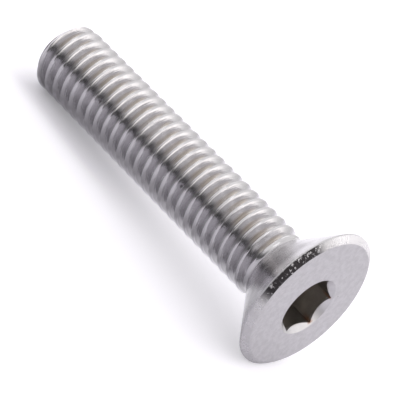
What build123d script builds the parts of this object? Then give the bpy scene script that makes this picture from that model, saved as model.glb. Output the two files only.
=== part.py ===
from build123d import *
import os
from math import atan2, ceil, cos, floor, radians, sin, tan

# Countersunk socket screw, size 6 by 30 with a coarse right-hand thread, one solid piece of steel.
# It lies as it comes to rest on a table: the rim of the head and the last crests of the thread touch Z = 0,
# the head is toward +X and the tip toward -X. Lengths are in millimetres, angles in degrees.

# Driving sizes, along the screw from the flat face of the head
overall_length = 29.5
thread_diameter = 5.84
pitch_diameter = 5.3
pitch = 1.0
flank_angle = 30.0
crest_at_floor = 0.623
tip_diameter = 4.7

head_diameter = 11.84
rim_bevel_width = 0.49
rim_bevel_height = 0.37
rim_land = 0.16
cone_half_angle = 45.0
neck_fillet = 0.6
plain_neck = 0.9
runout_angle = 30.0

key_size = 4.0
key_clearance = 0.1
key_turn = 12.1
socket_offset = 0.4
socket_offset_turn = -28.6
socket_depth = 2.3
socket_mouth_diameter = 4.95
socket_mouth_angle = 45.0
drill_point_angle = 118.0

# Sizes that follow from them
head_radius = head_diameter/2
face_radius = head_radius - rim_bevel_width
thread_radius = thread_diameter/2
collar_radius = pitch_diameter/2
tip_radius = tip_diameter/2
rim_depth = rim_bevel_height + rim_land
head_height = rim_depth + (head_radius - collar_radius)/tan(radians(cone_half_angle))
thread_start = head_height + plain_neck
full_thread_end = overall_length - (thread_radius - tip_radius)
socket_flat_radius = (key_size + key_clearance)/2
socket_mouth_radius = socket_mouth_diameter/2
last_crest = crest_at_floor + pitch*floor((full_thread_end - crest_at_floor)/pitch)

# How the screw lies: the axis falls toward the tip until the last full crest on the underside touches
rest_angle = atan2(head_radius - thread_radius, last_crest - rim_depth)
to_tip = Vector(-cos(rest_angle), 0, -sin(rest_angle))
to_floor = Vector(sin(rest_angle), 0, -cos(rest_angle))
half_extent = (overall_length*cos(rest_angle) + (tip_radius - face_radius)*sin(rest_angle))/2
face_height = rim_depth*sin(rest_angle) + head_radius*cos(rest_angle)
face_centre = Vector(half_extent, 0, face_height)
face_plane = Plane(origin=face_centre, x_dir=to_floor, z_dir=to_tip)
section = Plane(origin=face_centre, x_dir=to_floor, z_dir=(0, 1, 0))
screw_axis = Axis(face_centre, to_tip)

# The socket is punched a little off the axis, as the photographed screw has it
offset_x = socket_offset*cos(radians(socket_offset_turn))
offset_y = socket_offset*sin(radians(socket_offset_turn))
socket_centre = face_plane.from_local_coords((offset_x, offset_y, 0))
socket_plane = Plane(origin=socket_centre, x_dir=to_floor, z_dir=to_tip)
socket_section = Plane(origin=socket_centre, x_dir=to_floor, z_dir=(0, 1, 0))
socket_axis = Axis(socket_centre, to_tip)

neck_corner = Vector(collar_radius, head_height)
runout_radius = collar_radius - pitch

# Thread groove: a V between three true helices, cut in runs of a few turns that meet end to end.
# Its mouth stands a little outside the crests, and its bottom is where the two flanks meet.
cut_past_crest = 0.08
turns_per_run = 3
root_radius = collar_radius - pitch/4/tan(radians(flank_angle))
mouth_radius = thread_radius + cut_past_crest
mouth_half_width = (mouth_radius - root_radius)*tan(radians(flank_angle))
run_length = turns_per_run*pitch
first_groove = crest_at_floor + pitch/2 + pitch*floor((thread_start - crest_at_floor)/pitch - 1)
groove_runs = ceil((overall_length + pitch/2 - first_groove)/run_length)
clear_radius = thread_radius + pitch
blank_end = first_groove + groove_runs*run_length + pitch
groove_bottom = Edge.make_helix(pitch, run_length, root_radius)
mouth_head_side = Edge.make_helix(pitch, run_length, mouth_radius, center=(0, 0, -mouth_half_width))
mouth_tip_side = Edge.make_helix(pitch, run_length, mouth_radius, center=(0, 0, mouth_half_width))
groove_start = Wire.make_polygon([groove_bottom @ 0, mouth_tip_side @ 0, mouth_head_side @ 0], close=True)
groove_finish = Wire.make_polygon([groove_bottom @ 1, mouth_tip_side @ 1, mouth_head_side @ 1], close=True)
groove_run = Solid(Shell([
    Face.make_surface_from_curves(groove_bottom, mouth_tip_side),
    Face.make_surface_from_curves(mouth_tip_side, mouth_head_side),
    Face.make_surface_from_curves(mouth_head_side, groove_bottom),
    Face(groove_start),
    Face(groove_finish),
]))

with BuildPart(face_plane) as screw:
    # Threaded shank: a bar with the groove cut along it
    with Locations((0, 0, first_groove - pitch)):
        Cylinder(thread_radius, blank_end - first_groove + pitch, align=(Align.CENTER, Align.CENTER, Align.MIN))
    with Locations(*[(0, 0, first_groove + run*run_length) for run in range(groove_runs)]):
        add(groove_run, mode=Mode.SUBTRACT)

    # Tip: cut to length with its chamfer
    with BuildSketch(section):
        with BuildLine():
            Polyline(
                (0, overall_length),
                (tip_radius, overall_length),
                (clear_radius, overall_length - (clear_radius - tip_radius)),
                (clear_radius, blank_end + pitch),
                (0, blank_end + pitch),
                close=True,
            )
        make_face()
    revolve(axis=screw_axis, mode=Mode.SUBTRACT)

    # Shoulder where the thread begins, a cone that opens from inside the neck out to the crests
    with BuildSketch(section):
        with BuildLine():
            Polyline(
                (0, -blank_end),
                (0, thread_start - collar_radius),
                (clear_radius, thread_start - collar_radius + clear_radius),
                (clear_radius, -blank_end),
                close=True,
            )
        make_face()
    revolve(axis=screw_axis, mode=Mode.SUBTRACT)

    # Head and plain neck, with a cone inside the first turns where the groove runs out
    with BuildSketch(section) as head_section:
        with BuildLine():
            Polyline(
                (0, 0),
                (face_radius, 0),
                (head_radius, rim_bevel_height),
                (head_radius, rim_depth),
                (collar_radius, head_height),
                (collar_radius, thread_start),
                (runout_radius, thread_start + (collar_radius - runout_radius)/tan(radians(runout_angle))),
                (0, thread_start + (collar_radius - runout_radius)/tan(radians(runout_angle))),
                close=True,
            )
        make_face()
        fillet(head_section.vertices().sort_by_distance(neck_corner)[0], radius=neck_fillet)
    revolve(axis=screw_axis)

    # Hexagon socket with a drill point at the bottom
    with BuildSketch(socket_plane):
        RegularPolygon(socket_flat_radius, 6, major_radius=False, rotation=key_turn)
    extrude(amount=socket_depth, mode=Mode.SUBTRACT)
    with BuildSketch(socket_section):
        with BuildLine():
            Polyline(
                (0, socket_depth/2),
                (socket_flat_radius, socket_depth/2),
                (socket_flat_radius, socket_depth),
                (0, socket_depth + socket_flat_radius/tan(radians(drill_point_angle/2))),
                close=True,
            )
        make_face()
    revolve(axis=socket_axis, mode=Mode.SUBTRACT)

    # Conical mouth that breaks the six edges of the socket into curved chamfers
    with BuildSketch(socket_section):
        with BuildLine():
            Polyline(
                (0, 0),
                (socket_mouth_radius, 0),
                (0, socket_mouth_radius/tan(radians(socket_mouth_angle))),
                close=True,
            )
        make_face()
    revolve(axis=socket_axis, mode=Mode.SUBTRACT)

screw.part.label = "screw"
os.makedirs("parts", exist_ok=True)
export_step(screw.part, "parts/screw.step")
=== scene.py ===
import math
from collections import namedtuple

import bmesh
import bpy
from bpy.props import FloatProperty, FloatVectorProperty, IntProperty, PointerProperty
from mathutils import Matrix, Vector


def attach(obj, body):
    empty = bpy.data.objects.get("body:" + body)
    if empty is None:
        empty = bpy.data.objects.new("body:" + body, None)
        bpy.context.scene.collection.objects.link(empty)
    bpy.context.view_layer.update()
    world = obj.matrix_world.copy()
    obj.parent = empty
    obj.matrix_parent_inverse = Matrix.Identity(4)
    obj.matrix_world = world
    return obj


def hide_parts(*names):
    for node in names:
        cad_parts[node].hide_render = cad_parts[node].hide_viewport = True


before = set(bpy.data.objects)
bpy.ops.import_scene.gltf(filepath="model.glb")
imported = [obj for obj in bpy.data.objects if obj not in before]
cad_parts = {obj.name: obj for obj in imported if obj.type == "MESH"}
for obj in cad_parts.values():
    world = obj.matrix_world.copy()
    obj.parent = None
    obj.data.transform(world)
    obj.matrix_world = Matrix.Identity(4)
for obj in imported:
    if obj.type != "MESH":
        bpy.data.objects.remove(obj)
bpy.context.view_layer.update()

bl_info = {
    "name": "Countersunk Socket Screw",
    "version": (1, 0, 0),
    "blender": (4, 5, 0),
    "location": "View3D > Sidebar > Screw",
    "description": "Dresses a countersunk socket screw: rolled thread, turned head, hexagon socket, studio",
    "category": "Object",
}

MM = 0.001

# Places in the frame of the solid model, in millimetres: the middle of the head's flat face, the
# direction of the screw's axis toward its tip, and the direction square to it toward the table
FACE_CENTRE = Vector((14.5031, 0.0, 5.94281))
TO_TIP = Vector((-0.994346451, 0.0, -0.106184436))
TO_FLOOR = Vector((0.106184436, 0.0, -0.994346451))

# Angle around the axis from TO_FLOOR, in degrees, at which the meshes begin: a corner of the socket
FIRST_CORNER = 12.1

# The photograph's camera in the same frame
CAMERA_POSITION = Vector((76.079, -135.31, 75.53))
CAMERA_RIGHT = Vector((0.55926, 0.60376, 0.56807))
CAMERA_UP = Vector((-0.70645, -0.01146, 0.70767))
CAMERA_LENS = 209.38

# Fixed parts of the form, in millimetres and degrees
SHANK_MARGIN = 0.16       # plain neck that belongs to the mesh of the shank
CREST_DRAW = 0.6          # share by which the mesh rows are drawn together at the crests
CREASE_SHARPNESS = 700.0  # per square millimetre: the crease on a crest is about 0.08 mm wide
RUNOUT_ANGLE = 58         # slope of the cone in which the groove runs out
RUNOUT_ROUND = 0.05       # rounding between that cone and the ridge
CONE_ANGLE = 45           # half angle of the cone under the head
FILLET_STEPS = 8
BEVEL_STEPS = 6
BEVEL_BULGE = 0.03        # how far the rim's bevel bulges out
BULGE_ACROSS, BULGE_UP = 0.6, 0.8
DRILL_ANGLE = 59          # half angle of the drill point in the socket
SEAM_DISTANCE = 0.00001   # joins the two edges of the rolled-up grid
WELD_DISTANCE = 0.0005    # joins the shank to the neck
SHARP_ANGLE = 32          # edges over this angle are shaded sharp

# Marks on the steel. Four numbers say where a mark begins, is full, is full until, and ends. Around the
# screw they are in degrees from the first corner of the socket: the table lies at -12, the side toward
# the camera at 78 and the top at 168. Depths are in millimetres from the face.
# Painted shade in the grooves on the side toward the camera
PAINTED_SHADE_GROOVES = (72.0, 95.0, 110.0, 130.0)
# Painted warm reflection in the grooves on the upper side
WARM_REFLECTION_GROOVES = (96.0, 116.0, 150.0, 172.0)
# Painted highlight on the crests low on the side toward the camera
PAINTED_CREST_HIGHLIGHT = (0.0, 10.0, 34.0, 44.0)
# Painted shade in a streaky patch on the cone's upper side
CONE_SHADE_ANGLES = (68.0, 92.0, 120.0, 156.0)
CONE_SHADE_DEPTH = (0.9, 1.6, 3.0, 3.5)
# Dirt and painted shade in the folds of the rim's bevel
DIRT_AND_SHADE_RIM = (76.0, 90.0, 131.0, 144.0)
# Painted highlight on the rim's bevel beyond that stretch
RIM_HIGHLIGHT_FROM, RIM_HIGHLIGHT_FULL = 144.0, 160.0
RUST_CORNERS = (-58.0, -110.0)

# Table, in metres. Its emission keeps it white for the camera. A painted glow patch and a painted shadow show
# only as reflections in the steel, and beside the shank toward the tip the camera sees a painted shadow.
TABLE_HALF_SIZE = 3.0
PAPER = (0.71, 0.697, 0.752)
PAPER_LIFT = 0.37
# Painted shadow for the camera, beside the shank toward the tip
SHADOW_LOSS = 0.17
SHADOW_ACROSS = (-0.0044, -0.0022, 0.002, 0.004)
SHADOW_ALONG = (-0.0166, -0.0140, -0.010, 0.004)
# Painted shadow seen only in the steel, under the shank on the camera's side
DARK_ACROSS = (-0.0070, -0.0040, -0.0018, -0.0006)

# Room: strengths of its light, and how high its directions point where it is warmer
ROOM_LEVEL = 1.08
HORIZON_LOSS = 0.22
WARM_HEIGHTS = (0.16, 0.32, 0.5, 0.75)

Place = namedtuple("Place", "vector x y z radius angle")


def length(name, description, default, low=0.0):
    return FloatProperty(name=name, description=f"{description}, in millimetres", default=default,
                         min=low, max=100.0, precision=3)


class ThreadSizes(bpy.types.PropertyGroup):
    pitch: length("Pitch", "Distance from crest to crest", 1.0, 0.2)
    crest_radius: length("Crest radius", "Radius over the crests", 2.92)
    pitch_radius: length("Pitch radius", "Radius where ridge and groove are equally wide", 2.65)
    root_radius: length("Root radius", "Radius at the rounded bottom of the groove", 2.3)
    crest_at_floor: length(
        "Crest at floor", "Distance of a crest from the head's face on the table's side", 0.623)
    crest_round: length("Crest rounding", "How far the rounding of the crest's edges reaches", 0.07)
    root_round: length("Root rounding", "How far the rounding of the groove's bottom reaches", 0.16)
    crease_depth: length("Crease depth", "Depth of the fine crease left by rolling along the crest", 0.014)
    thread_start: length("Thread start", "Distance of the plain neck's end from the head's face", 4.24)
    overall_length: length("Overall length", "From the head's face to the tip", 29.5)
    tip_radius: length("Tip radius", "Radius of the flat end of the tip", 2.35)
    steps_per_pitch: IntProperty(
        name="Steps per pitch", description="Mesh steps along one pitch", default=24, min=8, max=64)


class HeadSizes(bpy.types.PropertyGroup):
    head_radius: length("Head radius", "Largest radius of the head", 5.92)
    face_radius: length("Face radius", "Radius of the flat face inside the rim's bevel", 5.43)
    bevel_height: length("Bevel height", "Height of the rim's rounded bevel", 0.37)
    rim_land: length("Rim land", "Width of the cylindrical edge of the rim", 0.16)
    neck_radius: length("Neck radius", "Radius of the plain neck", 2.65)
    neck_fillet: length("Neck fillet", "Radius of the fillet between cone and neck", 0.6)
    socket_flats: length("Socket flats", "Width of the hexagon socket across its flats", 4.1)
    socket_depth: length("Socket depth", "Depth of the socket's walls", 2.3)
    mouth_radius: length("Mouth radius", "Radius of the socket's conical mouth on the face", 2.475)
    socket_offset: length("Socket offset", "How far the socket stands off the screw's axis", 0.4)
    socket_offset_turn: FloatProperty(
        name="Socket offset turn",
        description="Direction of that offset, as an angle around the axis from the line toward the table",
        default=math.radians(-28.6), subtype="ANGLE")
    steps_around: IntProperty(
        name="Steps around", description="Mesh steps around the screw, a multiple of six",
        default=96, min=24, max=384)


def colour(name, description, default):
    return FloatVectorProperty(name=name, description=description, subtype="COLOR", default=default,
                               min=0.0, max=1.0)


class SteelLook(bpy.types.PropertyGroup):
    steel: colour("Steel", "Colour of the bare steel", (0.605, 0.595, 0.61))
    # Also the colour of painted shade in the grooves toward the camera and in the cone's patch, besides dirt
    # in pits
    dull_and_shade: colour("Dull steel", "Colour of the film in grooves, in pits and on the cone", (0.16, 0.147, 0.155))
    # Also the colour of painted shade in the folds of the rim, besides dirt in pits
    grime_and_shade: colour("Grime", "Colour of dirt in pits and in the crinkled rim", (0.022, 0.019, 0.021))
    socket: colour("Socket steel", "Colour of the punched, oxidised walls of the socket", (0.36, 0.335, 0.31))
    rust: colour("Rust", "Colour of the rust in the socket's corners", (0.30, 0.13, 0.045))


def screw_matrix():
    """Turns (across, across, along) places around the screw's own axis into places in the frame."""
    start = math.radians(FIRST_CORNER)
    side = TO_TIP.cross(TO_FLOOR)
    first = TO_FLOOR * math.cos(start) + side * math.sin(start)
    second = TO_TIP.cross(first)
    m = Matrix((
        (first.x, second.x, TO_TIP.x, FACE_CENTRE.x),
        (first.y, second.y, TO_TIP.y, FACE_CENTRE.y),
        (first.z, second.z, TO_TIP.z, FACE_CENTRE.z),
        (0, 0, 0, 1),
    ))
    return Matrix.Scale(MM, 4) @ m


def toned(rgb, share):
    """The colour, darkened or brightened by one factor."""
    return [c * share for c in rgb]


# Node trees

class Tree:
    """Builds a node tree from short calls, so that a formula reads like one."""

    def __init__(self, tree):
        self.tree = tree
        self.count = 0

    def socket(self, name, kind, way="INPUT", default=None):
        s = self.tree.interface.new_socket(name=name, in_out=way, socket_type=kind)
        if default is not None:
            s.default_value = default

    def node(self, kind, **values):
        n = self.tree.nodes.new(kind)
        n.location = ((self.count % 12) * 180, -(self.count // 12) * 220)
        self.count += 1
        for key, value in values.items():
            setattr(n, key, value)
        return n

    def link(self, value, socket):
        if hasattr(value, "is_output"):
            self.tree.links.new(value, socket)
        else:
            socket.default_value = value

    def fill(self, n, values):
        """Feeds the first inputs of a node and returns its first output."""
        for value, socket in zip(values, n.inputs):
            self.link(value, socket)
        return n.outputs[0]

    def math(self, operation, *values):
        return self.fill(self.node("ShaderNodeMath", operation=operation), values)

    def product(self, first, *others):
        for value in others:
            first = self.math("MULTIPLY", first, value)
        return first

    def combine(self, x, y, z):
        return self.fill(self.node("ShaderNodeCombineXYZ"), (x, y, z))

    def separate(self, vector):
        n = self.node("ShaderNodeSeparateXYZ")
        self.link(vector, n.inputs[0])
        return n.outputs

    def ramp(self, value, low, high, out_low=0.0, out_high=1.0):
        """Smooth step of a value from one range into another."""
        n = self.node("ShaderNodeMapRange", interpolation_type="SMOOTHSTEP")
        return self.fill(n, (value, low, high, out_low, out_high))

    def band(self, value, limits):
        """One where the value is between the inner limits, zero past the outer ones."""
        begin, full, until, end = limits
        return self.product(self.ramp(value, begin, full), self.ramp(value, end, until))

    def noise(self, vector, scale, detail, rough):
        n = self.node("ShaderNodeTexNoise")
        for name, value in (("Vector", vector), ("Scale", scale), ("Detail", detail), ("Roughness", rough)):
            self.link(value, n.inputs[name])
        return n.outputs["Fac"]

    def mix(self, factor, one, two):
        n = self.node("ShaderNodeMix", data_type="RGBA")
        self.link(factor, n.inputs[0])
        for value, socket in ((one, n.inputs[6]), (two, n.inputs[7])):
            self.link(value if hasattr(value, "is_output") else (*value, 1), socket)
        return n.outputs[2]


def thread_tree():
    """Node group: a rolled thread, from the end of the plain neck to the chamfered tip, along +Z."""
    t = Tree(bpy.data.node_groups.new("rolled_thread", "GeometryNodeTree"))
    t.socket("Geometry", "NodeSocketGeometry", "OUTPUT")
    for name in ("Pitch", "Crest radius", "Pitch radius", "Root radius", "Crest at start", "Crest rounding",
                 "Root rounding", "Crease depth", "Neck radius", "Mesh start", "Thread start",
                 "Overall length", "Tip radius"):
        t.socket(name, "NodeSocketFloat")
    for name in ("Steps per pitch", "Steps around"):
        t.socket(name, "NodeSocketInt")
    t.socket("Material", "NodeSocketMaterial")
    given = t.node("NodeGroupInput").outputs
    m = t.math
    pitch, crest = given["Pitch"], given["Crest radius"]
    mid, root = given["Pitch radius"], given["Root radius"]
    start, stop, begin = given["Mesh start"], given["Overall length"], given["Thread start"]
    crest_at, neck = given["Crest at start"], given["Neck radius"]

    # A flat grid: one way along the axis, from a pitch before the start, the other way around
    step = m("DIVIDE", pitch, given["Steps per pitch"])
    before = m("SUBTRACT", m("FLOOR", m("DIVIDE", m("SUBTRACT", start, crest_at), pitch)), 1.0)
    low = m("ADD", crest_at, m("MULTIPLY", before, pitch))
    rows = m("ADD", m("CEIL", m("DIVIDE", m("SUBTRACT", stop, low), step)), 1.0)
    gaps = m("SUBTRACT", rows, 1.0)
    grid = t.node("GeometryNodeMeshGrid")
    t.link(m("MULTIPLY", gaps, step), grid.inputs["Size X"])
    t.link(1.0, grid.inputs["Size Y"])
    t.link(rows, grid.inputs["Vertices X"])
    t.link(m("ADD", given["Steps around"], 1.0), grid.inputs["Vertices Y"])
    where = t.separate(t.node("GeometryNodeInputPosition").outputs[0])
    half = m("MULTIPLY", gaps, m("MULTIPLY", step, 0.5))
    turn = m("ADD", where["Y"], 0.5)
    along = m("ADD", where["X"], m("ADD", half, low))

    # Rows are drawn together at the crests, where the form is finest, and climb one pitch in one turn
    phase = m("MULTIPLY", m("DIVIDE", m("SUBTRACT", along, crest_at), pitch), 2 * math.pi)
    draw = m("MULTIPLY", pitch, CREST_DRAW / (2 * math.pi))
    drawn = m("SUBTRACT", along, m("MULTIPLY", m("SINE", phase), draw))
    x = m("MINIMUM", m("MAXIMUM", m("ADD", drawn, m("MULTIPLY", turn, pitch)), start), stop)

    # Distance from the nearest crest, and the ridge's height there: straight flanks at 30 degrees,
    # a rounded crest with a fine crease, and a rounded root
    cycle = m("SUBTRACT", m("DIVIDE", m("SUBTRACT", x, crest_at), pitch), turn)
    off = m("MULTIPLY", m("ABSOLUTE", m("SUBTRACT", cycle, m("ROUND", cycle))), pitch)
    flank = m("ADD", mid, m("MULTIPLY", m("SUBTRACT", m("MULTIPLY", pitch, 0.25), off), math.sqrt(3)))
    fade = m("EXPONENT", m("MULTIPLY", m("MULTIPLY", off, off), -CREASE_SHARPNESS))
    crease = m("MULTIPLY", given["Crease depth"], fade)
    top = m("SMOOTH_MIN", flank, m("SUBTRACT", crest, crease), given["Crest rounding"])
    ridge = m("SMOOTH_MAX", top, root, given["Root rounding"])

    # Neck, shoulder and the cone where the groove runs out, then the chamfer of the tip
    past = m("MAXIMUM", m("SUBTRACT", x, begin), 0.0)
    runout = m("SUBTRACT", neck, m("MULTIPLY", past, math.tan(math.radians(RUNOUT_ANGLE))))
    shoulder = m("ADD", neck, past)
    chamfer = m("ADD", given["Tip radius"], m("SUBTRACT", stop, x))
    radius = m("MINIMUM", m("MINIMUM", m("SMOOTH_MAX", ridge, runout, RUNOUT_ROUND), shoulder), chamfer)
    angle = m("MULTIPLY", turn, 2 * math.pi)
    place = t.combine(m("MULTIPLY", radius, m("COSINE", angle)), m("MULTIPLY", radius, m("SINE", angle)), x)
    shaped = t.node("GeometryNodeSetPosition")
    t.link(grid.outputs["Mesh"], shaped.inputs["Geometry"])
    t.link(place, shaped.inputs["Position"])
    outward = t.fill(t.node("GeometryNodeFlipFaces"), (shaped.outputs[0],))
    welded = t.node("GeometryNodeMergeByDistance")
    t.link(outward, welded.inputs["Geometry"])
    t.link(SEAM_DISTANCE, welded.inputs["Distance"])
    real = t.fill(t.node("GeometryNodeRealizeInstances"), (welded.outputs[0],))
    painted = t.node("GeometryNodeSetMaterial")
    t.link(real, painted.inputs["Geometry"])
    t.link(given["Material"], painted.inputs["Material"])
    t.link(painted.outputs[0], t.node("NodeGroupOutput").inputs[0])
    return t.tree


def make_with_nodes(name, tree, values):
    """Runs a node group on an empty mesh and returns its result as a plain mesh."""
    holder = bpy.data.objects.new(name, bpy.data.meshes.new(name))
    bpy.context.scene.collection.objects.link(holder)
    modifier = holder.modifiers.new(name, "NODES")
    modifier.node_group = tree
    for item in tree.interface.items_tree:
        if item.item_type == "SOCKET" and item.in_out == "INPUT" and item.name in values:
            modifier[item.identifier] = values[item.name]
    bpy.context.view_layer.update()
    evaluated = holder.evaluated_get(bpy.context.evaluated_depsgraph_get())
    mesh = bpy.data.meshes.new_from_object(evaluated)
    holder.modifiers.remove(modifier)
    bpy.data.objects.remove(holder)
    return mesh


# Materials

def screw_places(t):
    """Adds nodes that give a point's place on the screw in millimetres, with z from the face toward the tip,
    its distance from the axis, and its angle around it in degrees from the first corner of the socket."""
    inverse = screw_matrix().inverted()
    mapping = t.node("ShaderNodeMapping")
    mapping.inputs["Location"].default_value = inverse.to_translation()
    mapping.inputs["Rotation"].default_value = inverse.to_euler()
    mapping.inputs["Scale"].default_value = (1 / MM, 1 / MM, 1 / MM)
    t.link(t.node("ShaderNodeTexCoord").outputs["Object"], mapping.inputs["Vector"])
    vector = mapping.outputs[0]
    x, y, z = t.separate(vector)
    radius = t.math("SQRT", t.math("ADD", t.math("MULTIPLY", x, x), t.math("MULTIPLY", y, y)))
    angle = t.math("MULTIPLY", t.math("ARCTAN2", y, x), 180 / math.pi)
    return Place(vector, x, y, z, radius, angle)


def worked_marks_tree():
    """Shared node group: marks that rolling and turning leave around the screw, and mottling between them."""
    t = Tree(bpy.data.node_groups.new("worked_marks", "ShaderNodeTree"))
    t.socket("Lines per millimetre", "NodeSocketFloat", default=9.0)
    t.socket("Stretch", "NodeSocketFloat", default=10.0)
    t.socket("Mottle size", "NodeSocketFloat", default=1.0)
    for name in ("Lines", "Mottle", "Height"):
        t.socket(name, "NodeSocketFloat", "OUTPUT")
    given = t.node("NodeGroupInput").outputs
    at = screw_places(t)
    m = t.math
    density = given["Lines per millimetre"]
    across = m("DIVIDE", density, given["Stretch"])
    slant = m("SUBTRACT", m("ADD", at.z, at.radius), m("DIVIDE", at.angle, 360.0))
    stretched = t.combine(
        m("MULTIPLY", at.x, across), m("MULTIPLY", at.y, across), m("MULTIPLY", slant, density))
    lines = t.noise(stretched, 0.5, 3.0, 0.6)
    cloud = t.noise(at.vector, m("DIVIDE", 1.0, given["Mottle size"]), 5.0, 0.62)
    grit = t.noise(at.vector, 9.0, 2.0, 0.5)
    result = t.node("NodeGroupOutput").inputs
    t.link(lines, result["Lines"])
    t.link(t.ramp(cloud, 0.3, 0.7), result["Mottle"])
    t.link(m("ADD", m("MULTIPLY", lines, 0.7), m("MULTIPLY", grit, 0.3)), result["Height"])
    return t.tree


def pits_tree():
    """Shared node group: small scattered pits and specks of dirt."""
    t = Tree(bpy.data.node_groups.new("pits", "ShaderNodeTree"))
    t.socket("Spacing", "NodeSocketFloat", default=1.5)
    t.socket("Pit size", "NodeSocketFloat", default=0.1)
    t.socket("Share", "NodeSocketFloat", default=0.3)
    for name in ("Mask", "Height"):
        t.socket(name, "NodeSocketFloat", "OUTPUT")
    given = t.node("NodeGroupInput").outputs
    at = screw_places(t)
    m = t.math
    wobble = t.noise(at.vector, 7.0, 2.0, 0.5)
    shift = t.combine(m("MULTIPLY", wobble, 0.12), m("MULTIPLY", wobble, -0.1), m("MULTIPLY", wobble, 0.08))
    bent = t.fill(t.node("ShaderNodeVectorMath", operation="ADD"), (at.vector, shift))
    cells = t.node("ShaderNodeTexVoronoi")
    t.link(bent, cells.inputs["Vector"])
    t.link(m("DIVIDE", 1.0, given["Spacing"]), cells.inputs["Scale"])
    chance = t.node("ShaderNodeSeparateColor")
    t.link(cells.outputs["Color"], chance.inputs[0])
    chosen = m("LESS_THAN", chance.outputs[0], given["Share"])
    size = m("MULTIPLY", given["Pit size"], m("ADD", 0.5, chance.outputs[1]))
    reach = m("MULTIPLY", cells.outputs["Distance"], given["Spacing"])
    mask = m("MULTIPLY", chosen, m("SUBTRACT", 1.0, t.ramp(m("DIVIDE", reach, size), 0.55, 1.1)))
    result = t.node("NodeGroupOutput").inputs
    t.link(mask, result["Mask"])
    t.link(m("SUBTRACT", 0.0, mask), result["Height"])
    return t.tree


class Finish(Tree):
    """A material's own node tree, written with the same short calls."""

    def __init__(self, name):
        self.material = bpy.data.materials.new(name)
        self.material.use_nodes = True
        super().__init__(self.material.node_tree)
        self.shader = self.tree.nodes["Principled BSDF"]
        self.shader.location = (2400, 300)
        self.tree.nodes["Material Output"].location = (2700, 300)

    def shared(self, name, make, *values):
        """Adds the shared node group of that name, which is built on its first use."""
        n = self.node("ShaderNodeGroup")
        n.node_tree = bpy.data.node_groups.get(name) or make()
        for value, socket in zip(values, n.inputs):
            self.link(value, socket)
        return n.outputs

    def marks(self, lines, stretch, mottle):
        return self.shared("worked_marks", worked_marks_tree, lines, stretch, mottle)

    def pits(self, spacing, size, share):
        return self.shared("pits", pits_tree, spacing, size, share)

    def bump(self, height, distance):
        n = self.node("ShaderNodeBump")
        n.inputs["Strength"].default_value = 1.0
        n.inputs["Distance"].default_value = distance
        self.link(height, n.inputs["Height"])
        self.link(n.outputs[0], self.shader.inputs["Normal"])

    def metal(self, base, roughness):
        self.link(base, self.shader.inputs["Base Color"])
        self.link(roughness, self.shader.inputs["Roughness"])
        self.shader.inputs["Metallic"].default_value = 1.0
        return self.material


def rolled_steel(look):
    """Thread: smooth rolled flanks, darker low in the grooves with painted shade toward the camera, a painted
    warm reflection in the upper grooves, and a painted highlight on the crests low on one side.
    """
    t = Finish("rolled_steel")
    m, at = t.math, screw_places(t)
    worked = t.marks(12.0, 14.0, 1.4)
    dirt = t.pits(1.3, 0.11, 0.16)
    groove = t.ramp(at.radius, 2.62, 2.36)
    # Painted shade: the grooves are darker where the shank faces the camera
    facing = m("MULTIPLY", t.band(at.angle, PAINTED_SHADE_GROOVES), 0.22)
    darkening = m("MULTIPLY", groove, m("ADD", facing, m("ADD", 0.04, m("MULTIPLY", worked["Mottle"], 0.2))))
    steel = t.mix(m("MULTIPLY", worked["Lines"], 0.35), look.steel, toned(look.steel, 0.72))
    # Painted warm reflection: a tan tint in the grooves on the upper side
    warm_reflection = t.product(t.band(at.angle, WARM_REFLECTION_GROOVES), m("ADD", 0.3, worked["Mottle"]), groove)
    steel = t.mix(warm_reflection, steel, (look.steel[0], look.steel[1] * 0.94, look.steel[2] * 0.84))
    # Painted highlight: low on the side toward the camera the crests are brighter
    crest_highlight = m("MULTIPLY", t.band(at.angle, PAINTED_CREST_HIGHLIGHT), t.ramp(at.radius, 2.74, 2.84))
    steel = t.mix(crest_highlight, steel, toned(look.steel, 1.38))
    # The grooves darken toward this colour: painted shade on the camera's side
    grooves_darkened = t.mix(darkening, steel, look.dull_and_shade)
    shown = t.mix(m("MULTIPLY", dirt["Mask"], 0.6), grooves_darkened, look.grime_and_shade)
    rough = m("ADD", 0.12, m("ADD", m("MULTIPLY", worked["Mottle"], 0.08), m("MULTIPLY", groove, 0.14)))
    t.bump(m("ADD", worked["Height"], m("MULTIPLY", dirt["Height"], 2.0)), 0.00002)
    return t.metal(shown, rough)


def turned_cone(look):
    """Cone under the head: fine turning marks, and painted shade in a streaky patch on the upper side."""
    t = Finish("turned_cone")
    m, at = t.math, screw_places(t)
    worked = t.marks(7.0, 16.0, 1.8)
    dirt = t.pits(1.1, 0.07, 0.12)
    clouded = m("ADD", 0.25, m("MULTIPLY", worked["Mottle"], 0.75))
    streaks = m("MULTIPLY", t.ramp(worked["Lines"], 0.42, 0.62), clouded)
    # Painted shade: the patch is darkened, streaked by the turning marks
    patch = m("MULTIPLY", t.band(at.angle, CONE_SHADE_ANGLES), t.band(at.z, CONE_SHADE_DEPTH))
    patch_shade = m("MULTIPLY", patch, m("ADD", 0.35, m("MULTIPLY", t.ramp(worked["Lines"], 0.35, 0.6), 0.5)))
    steel = t.mix(m("MULTIPLY", streaks, 0.45), look.steel, toned(look.steel, 0.6))
    steel = t.mix(patch_shade, steel, look.dull_and_shade)
    shown = t.mix(dirt["Mask"], steel, look.dull_and_shade)
    t.bump(m("ADD", worked["Height"], dirt["Height"]), 0.00001)
    return t.metal(shown, m("ADD", 0.18, m("MULTIPLY", worked["Mottle"], 0.12)))


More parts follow.
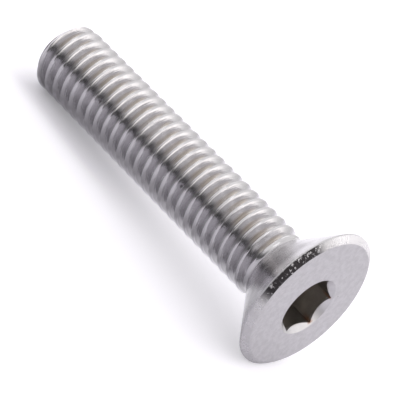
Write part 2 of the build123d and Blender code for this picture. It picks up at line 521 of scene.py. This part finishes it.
def upset_rim(look):
    """Rim: crinkled by heading, with dirt and painted shade in the folds of its upper side, and a painted
    highlight beyond them.
    """
    t = Finish("upset_rim")
    m, at = t.math, screw_places(t)
    worked = t.marks(5.0, 2.0, 0.9)
    folds = t.noise(at.vector, 4.6, 4.0, 0.66)
    bevel = t.ramp(at.z, 0.46, 0.38)
    # Dirt and painted shade: near-black in the folds of the bevel on this stretch of the rim
    grime_and_shade = t.product(t.band(at.angle, DIRT_AND_SHADE_RIM), bevel, t.ramp(folds, 0.65, 0.56))
    steel = t.mix(m("MULTIPLY", worked["Mottle"], 0.25), look.steel, toned(look.steel, 0.7))
    # Painted highlight: the bevel is brighter beyond the darkened stretch, around the top
    beyond = t.ramp(m("ABSOLUTE", at.angle), RIM_HIGHLIGHT_FROM, RIM_HIGHLIGHT_FULL)
    steel = t.mix(m("MULTIPLY", beyond, bevel), steel, toned(look.steel, 1.34))
    shown = t.mix(m("MULTIPLY", grime_and_shade, 0.97), steel, look.grime_and_shade)
    t.bump(m("ADD", folds, m("MULTIPLY", worked["Height"], 0.2)), 0.0001)
    return t.metal(shown, m("ADD", 0.24, m("MULTIPLY", worked["Mottle"], 0.12)))


def pressed_face(look):
    """Flat face: matte and faintly clouded, with a few fine pits."""
    t = Finish("pressed_face")
    m, at = t.math, screw_places(t)
    worked = t.marks(6.0, 6.0, 1.2)
    dirt = t.pits(1.2, 0.06, 0.25)
    cloud = t.noise(at.vector, 2.2, 6.0, 0.65)
    steel = t.mix(m("MULTIPLY", t.ramp(cloud, 0.38, 0.62), 0.38), look.steel, toned(look.steel, 0.72))
    shown = t.mix(m("MULTIPLY", dirt["Mask"], 0.5), steel, look.dull_and_shade)
    t.bump(m("ADD", worked["Height"], m("ADD", m("MULTIPLY", cloud, 1.5), dirt["Height"])), 0.00004)
    return t.metal(shown, m("ADD", 0.33, m("MULTIPLY", worked["Mottle"], 0.08)))


def socket_steel(look):
    """Socket: bare steel on the conical mouth, oxidised walls with faint punch marks, rust at two corners."""
    t = Finish("socket_steel")
    m, at = t.math, screw_places(t)
    worked = t.marks(3.0, 1.0, 1.0)
    dirt = t.pits(0.9, 0.08, 0.3)
    spread = t.noise(at.vector, 3.0, 4.0, 0.6)
    ragged = m("ADD", at.z, m("MULTIPLY", m("SUBTRACT", spread, 0.5), 0.2))
    wall = t.mix(m("MULTIPLY", worked["Mottle"], 0.5), look.socket, toned(look.socket, 0.55))
    bare = t.mix(m("MULTIPLY", worked["Mottle"], 0.3), look.steel, toned(look.steel, 0.7))
    shown = t.mix(t.ramp(ragged, 0.3, 0.5), bare, wall)
    # Rust in the two corners on the lower right, narrower in the second
    first, second = (m("ABSOLUTE", m("ADD", at.angle, -corner)) for corner in RUST_CORNERS)
    nearest = m("MINIMUM", first, m("MULTIPLY", second, 1.6))
    rusted = t.ramp(m("ADD", nearest, m("MULTIPLY", spread, 8.0)), 11.0, 4.0)
    edge = m("MULTIPLY", t.ramp(at.z, 0.05, 0.14), t.ramp(at.z, 1.2, 0.35))
    rusty = t.mix(t.product(rusted, edge, 0.75), shown, look.rust)
    final = t.mix(m("MULTIPLY", dirt["Mask"], 0.6), rusty, look.grime_and_shade)
    t.bump(m("ADD", worked["Height"], dirt["Height"]), 0.000015)
    return t.metal(final, m("ADD", 0.30, m("MULTIPLY", worked["Mottle"], 0.15)))


def white_paper():
    """Table: paper that the camera sees as plain white apart from the screw's shadow, with painted shadow
    deepening it toward the tip.
    """
    t = Finish("white_paper")
    m = t.math
    x, y, _ = t.separate(t.node("ShaderNodeTexCoord").outputs["Object"])
    light_path = t.node("ShaderNodeLightPath").outputs
    mirrored = light_path["Is Glossy Ray"]
    # Painted reflection: only the steel sees the paper glowing brighter toward the back right, with a glowing
    # patch behind the shank
    toward = m("ADD", m("MULTIPLY", x, 0.55), m("MULTIPLY", y, 0.83))
    glow_patch = m("MULTIPLY", t.ramp(y, -0.0016, 0.0008), t.ramp(x, 0.0150, 0.0122, 0.0, 0.34))
    reflected_glow = m("ADD", t.ramp(toward, -0.015, 0.022, 0.0, 0.13), glow_patch)
    # Painted shadow: the lift that keeps the paper pale fades where the shank's shadow is deepest, toward the
    # tip
    shadow = m("MULTIPLY", t.band(y, SHADOW_ACROSS), t.band(x, SHADOW_ALONG))
    lift = m("SUBTRACT", PAPER_LIFT, m("MULTIPLY", shadow, SHADOW_LOSS))
    glow = m("ADD", m("MULTIPLY", light_path["Is Camera Ray"], lift), m("MULTIPLY", mirrored, reflected_glow))
    # Painted shadow: only the steel sees the paper darker under the shank, on the camera's side
    under = t.product(mirrored, t.band(y, DARK_ACROSS), t.ramp(x, 0.0125, 0.0095, 0.0, 0.3))
    t.link(t.mix(under, PAPER, toned(PAPER, 0.3)), t.shader.inputs["Base Color"])
    t.shader.inputs["Roughness"].default_value = 0.9
    t.shader.inputs["Specular IOR Level"].default_value = 0.0
    t.shader.inputs["Emission Color"].default_value = (1, 1, 1, 1)
    t.link(glow, t.shader.inputs["Emission Strength"])
    return t.material


# Pieces

class Loft:
    """Adds rings of vertices around the screw's axis to a mesh, each joined to the one before."""

    def __init__(self, work, steps, parts):
        self.work, self.steps, self.parts = work, steps, parts
        self.last = None

    def ring(self, radius_at, depth_at, aside, part):
        made = []
        for i in range(self.steps):
            a = 2 * math.pi * i / self.steps
            r = radius_at(a)
            place = (r * math.cos(a) + aside[0], r * math.sin(a) + aside[1], depth_at(a))
            made.append(self.work.verts.new(place))
        if self.last:
            for i in range(self.steps):
                j = (i + 1) % self.steps
                self.face((self.last[i], self.last[j], made[j], made[i]), part)
        self.last = made

    def point(self, place, part):
        end = self.work.verts.new(place)
        for i in range(self.steps):
            self.face((self.last[i], self.last[(i + 1) % self.steps], end), part)

    def face(self, corners, part):
        self.work.faces.new(corners).material_index = self.parts.index(part)


def head_rings(s, neck_end):
    """Radius, distance from the face and part of each ring, from the neck to the mouth of the socket."""
    fillet = s.neck_fillet
    rim_depth = s.bevel_height + s.rim_land
    cone_end = rim_depth + s.head_radius - s.neck_radius
    reach = fillet * math.tan(math.radians(CONE_ANGLE / 2))
    rings = [(s.neck_radius, neck_end, "thread")]
    for k in range(FILLET_STEPS + 1):
        angle = math.radians(CONE_ANGLE * k / FILLET_STEPS)
        radius = s.neck_radius + fillet * (1 - math.cos(angle))
        rings.append((radius, cone_end + reach - fillet * math.sin(angle), "cone" if k else "thread"))
    narrow, deep, _ = rings[-1]
    for share in (0.25, 0.5, 0.75, 1.0):
        rings.append((narrow + (s.head_radius - narrow) * share, deep + (rim_depth - deep) * share, "cone"))
    rings.append((s.head_radius, s.bevel_height, "rim"))
    for k in range(1, BEVEL_STEPS + 1):
        share = k / BEVEL_STEPS
        bulge = BEVEL_BULGE * math.sin(math.pi * share)
        radius = s.head_radius + (s.face_radius - s.head_radius) * share + bulge * BULGE_ACROSS
        rings.append((radius, s.bevel_height * (1 - share) - bulge * BULGE_UP, "rim"))
    for share in (0.02, 0.25, 0.5, 0.75, 1.0):
        rings.append((s.face_radius + (s.mouth_radius - s.face_radius) * share, 0.0, "face"))
    return rings


def add_head(work, s, neck_end, parts):
    """Adds the neck, cone, rim and face, then the socket with its conical mouth, walls and drill point."""
    loft = Loft(work, s.steps_around, parts)
    turn = s.socket_offset_turn - math.radians(FIRST_CORNER)
    aside = (s.socket_offset * math.cos(turn), s.socket_offset * math.sin(turn))
    for radius, depth, part in head_rings(s, neck_end):
        # The rings of the face move over step by step to the middle of the socket
        off = (s.face_radius - radius) / (s.face_radius - s.mouth_radius) if part == "face" else 0.0
        loft.ring(lambda a: radius, lambda a: depth, (aside[0] * off, aside[1] * off), part)

    flat, mouth, depth = s.socket_flats / 2, s.mouth_radius, s.socket_depth

    def wall(a):
        return flat / math.cos((a % (math.pi / 3)) - math.pi / 6)

    for share in (0.33, 0.66, 1.0):
        loft.ring(lambda a: mouth + (wall(a) - mouth) * share, lambda a: (mouth - wall(a)) * share,
                  aside, "socket")
    for share in (0.25, 0.5, 0.75, 1.0):
        loft.ring(wall, lambda a: (mouth - wall(a)) * (1 - share) + depth * share, aside, "socket")
    point = flat / math.tan(math.radians(DRILL_ANGLE))
    for share in (1.0, 0.66, 0.33):
        loft.ring(lambda a: flat * share, lambda a: depth + point * (1 - share), aside, "socket")
    loft.point((*aside, depth + point), "socket")


class SCREW_OT_steel_screw(bpy.types.Operator):
    """Makes the screw: rolled thread, neck, cone, rim, face and hexagon socket, in one closed mesh"""
    bl_idname = "screw.steel_screw"
    bl_label = "Steel screw"

    def execute(self, context):
        scene = context.scene
        t, s, look = scene.screw_thread, scene.screw_head, scene.screw_look
        mats = {
            "thread": rolled_steel(look),
            "cone": turned_cone(look),
            "rim": upset_rim(look),
            "face": pressed_face(look),
            "socket": socket_steel(look),
        }
        parts = list(mats)
        neck_end = t.thread_start - SHANK_MARGIN
        shank = make_with_nodes("threaded_shank", thread_tree(), {
            "Pitch": t.pitch, "Crest radius": t.crest_radius, "Pitch radius": t.pitch_radius,
            "Root radius": t.root_radius, "Crest at start": t.crest_at_floor + t.pitch * FIRST_CORNER / 360,
            "Crest rounding": t.crest_round, "Root rounding": t.root_round, "Crease depth": t.crease_depth,
            "Neck radius": s.neck_radius, "Mesh start": neck_end, "Thread start": t.thread_start,
            "Overall length": t.overall_length, "Tip radius": t.tip_radius,
            "Steps per pitch": t.steps_per_pitch, "Steps around": s.steps_around, "Material": mats["thread"],
        })
        work = bmesh.new()
        work.from_mesh(shank)
        for face in work.faces:
            face.material_index = parts.index("thread")
        add_head(work, s, neck_end, parts)
        bmesh.ops.remove_doubles(work, verts=work.verts[:], dist=WELD_DISTANCE)

        # The tip's flat end
        rim = [e for e in work.edges if e.is_boundary]
        for face in bmesh.ops.holes_fill(work, edges=rim, sides=0)["faces"]:
            face.material_index = parts.index("thread")
        bmesh.ops.recalc_face_normals(work, faces=work.faces[:])
        work.transform(screw_matrix())
        mesh = bpy.data.meshes.new("steel_screw")
        work.to_mesh(mesh)
        open_edges = sum(1 for e in work.edges if not e.is_manifold)
        volume = work.calc_volume()
        work.free()
        print("steel_screw: faces", len(mesh.polygons), "open edges", open_edges,
              "volume mm3", volume / MM ** 3)
        for part in parts:
            mesh.materials.append(mats[part])
        piece = bpy.data.objects.new("steel_screw", mesh)
        scene.collection.objects.link(piece)
        mesh.shade_smooth()
        mesh.set_sharp_from_angle(angle=math.radians(SHARP_ANGLE))
        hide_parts("screw")
        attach(piece, "root")
        return {"FINISHED"}


# Stage

def add_camera(scene):
    data = bpy.data.cameras.new("photo_camera")
    data.lens = CAMERA_LENS
    data.sensor_width = 36.0
    data.clip_start = 0.01
    data.clip_end = 10.0
    camera = bpy.data.objects.new("photo_camera", data)
    right = CAMERA_RIGHT.normalized()
    back = CAMERA_RIGHT.cross(CAMERA_UP).normalized()
    up = back.cross(right)
    place = CAMERA_POSITION * MM
    camera.matrix_world = Matrix((
        (right.x, up.x, back.x, place.x),
        (right.y, up.y, back.y, place.y),
        (right.z, up.z, back.z, place.z),
        (0, 0, 0, 1),
    ))
    scene.collection.objects.link(camera)
    scene.camera = camera


def add_lamp(scene, name, place, width, height, power):
    """A rectangular lamp that points at the screw. Lengths are in metres."""
    data = bpy.data.lights.new(name, "AREA")
    data.shape = "RECTANGLE"
    data.size = width
    data.size_y = height
    data.energy = power
    light = bpy.data.objects.new(name, data)
    place, target = Vector(place), Vector((0, 0, 0.005))
    aim = (target - place).to_track_quat("-Z", "Y").to_matrix().to_4x4()
    light.matrix_world = Matrix.Translation(place) @ aim
    scene.collection.objects.link(light)


def add_room(scene):
    """World: a pale tent overhead and behind, warmer past the head, and the darker room low in front."""
    world = bpy.data.worlds.new("studio")
    world.use_nodes = True
    scene.world = world
    t = Tree(world.node_tree)
    m = t.math
    x, y, z = t.separate(t.node("ShaderNodeTexCoord").outputs["Generated"])
    front = t.ramp(m("SUBTRACT", m("MULTIPLY", x, 0.3), m("MULTIPLY", y, 0.95)), -0.25, 0.25)
    dark = m("MULTIPLY", front, t.ramp(z, 0.60, 0.20))
    warm = m("MULTIPLY", t.ramp(x, 0.3, 0.75), t.band(z, WARM_HEIGHTS))
    tint = t.mix(warm, (1.0, 0.985, 0.985), (1.0, 0.965, 0.94))
    low = m("MULTIPLY", t.ramp(z, 0.30, 0.02), HORIZON_LOSS)
    lit = m("SUBTRACT", m("SUBTRACT", ROOM_LEVEL, low), m("MULTIPLY", dark, m("SUBTRACT", 1.0, low)))
    level = m("ADD", lit, warm)
    background = world.node_tree.nodes["Background"]
    # The camera never sees the background darker than white
    seen = m("MAXIMUM", level, t.node("ShaderNodeLightPath").outputs["Is Camera Ray"])
    t.link(tint, background.inputs["Color"])
    t.link(seen, background.inputs["Strength"])


class SCREW_OT_studio(bpy.types.Operator):
    """Makes the pale table, the soft lights and the camera of the photograph"""
    bl_idname = "screw.studio"
    bl_label = "Studio"

    def execute(self, context):
        scene = context.scene
        add_camera(scene)
        table_mesh = bpy.data.meshes.new("table")
        work = bmesh.new()
        bmesh.ops.create_grid(work, x_segments=1, y_segments=1, size=TABLE_HALF_SIZE)
        work.to_mesh(table_mesh)
        work.free()
        table = bpy.data.objects.new("table", table_mesh)
        scene.collection.objects.link(table)
        table_mesh.materials.append(white_paper())
        add_lamp(scene, "strip", (-0.322, -0.028, 0.318), width=0.17, height=0.12, power=0.08)
        add_lamp(scene, "softbox", (0.06, 0.20, 0.36), width=0.36, height=0.30, power=0.16)
        add_room(scene)
        scene.view_settings.view_transform = "Standard"
        return {"FINISHED"}


class SCREW_PT_panel(bpy.types.Panel):
    bl_label = "Countersunk Socket Screw"
    bl_idname = "SCREW_PT_panel"
    bl_space_type = "VIEW_3D"
    bl_region_type = "UI"
    bl_category = "Screw"

    def draw(self, context):
        layout = self.layout
        for group in (context.scene.screw_thread, context.scene.screw_head, context.scene.screw_look):
            box = layout.box()
            for key in group.__annotations__:
                box.prop(group, key)
        layout.operator("screw.steel_screw")
        layout.operator("screw.studio")


CLASSES = (ThreadSizes, HeadSizes, SteelLook, SCREW_OT_steel_screw, SCREW_OT_studio, SCREW_PT_panel)


def register():
    for cls in CLASSES:
        bpy.utils.register_class(cls)
    bpy.types.Scene.screw_thread = PointerProperty(type=ThreadSizes)
    bpy.types.Scene.screw_head = PointerProperty(type=HeadSizes)
    bpy.types.Scene.screw_look = PointerProperty(type=SteelLook)


def unregister():
    del bpy.types.Scene.screw_look
    del bpy.types.Scene.screw_head
    del bpy.types.Scene.screw_thread
    for cls in reversed(CLASSES):
        bpy.utils.unregister_class(cls)


def main():
    register()
    bpy.ops.screw.steel_screw()
    bpy.ops.screw.studio()


if __name__ == "__main__":
    main()
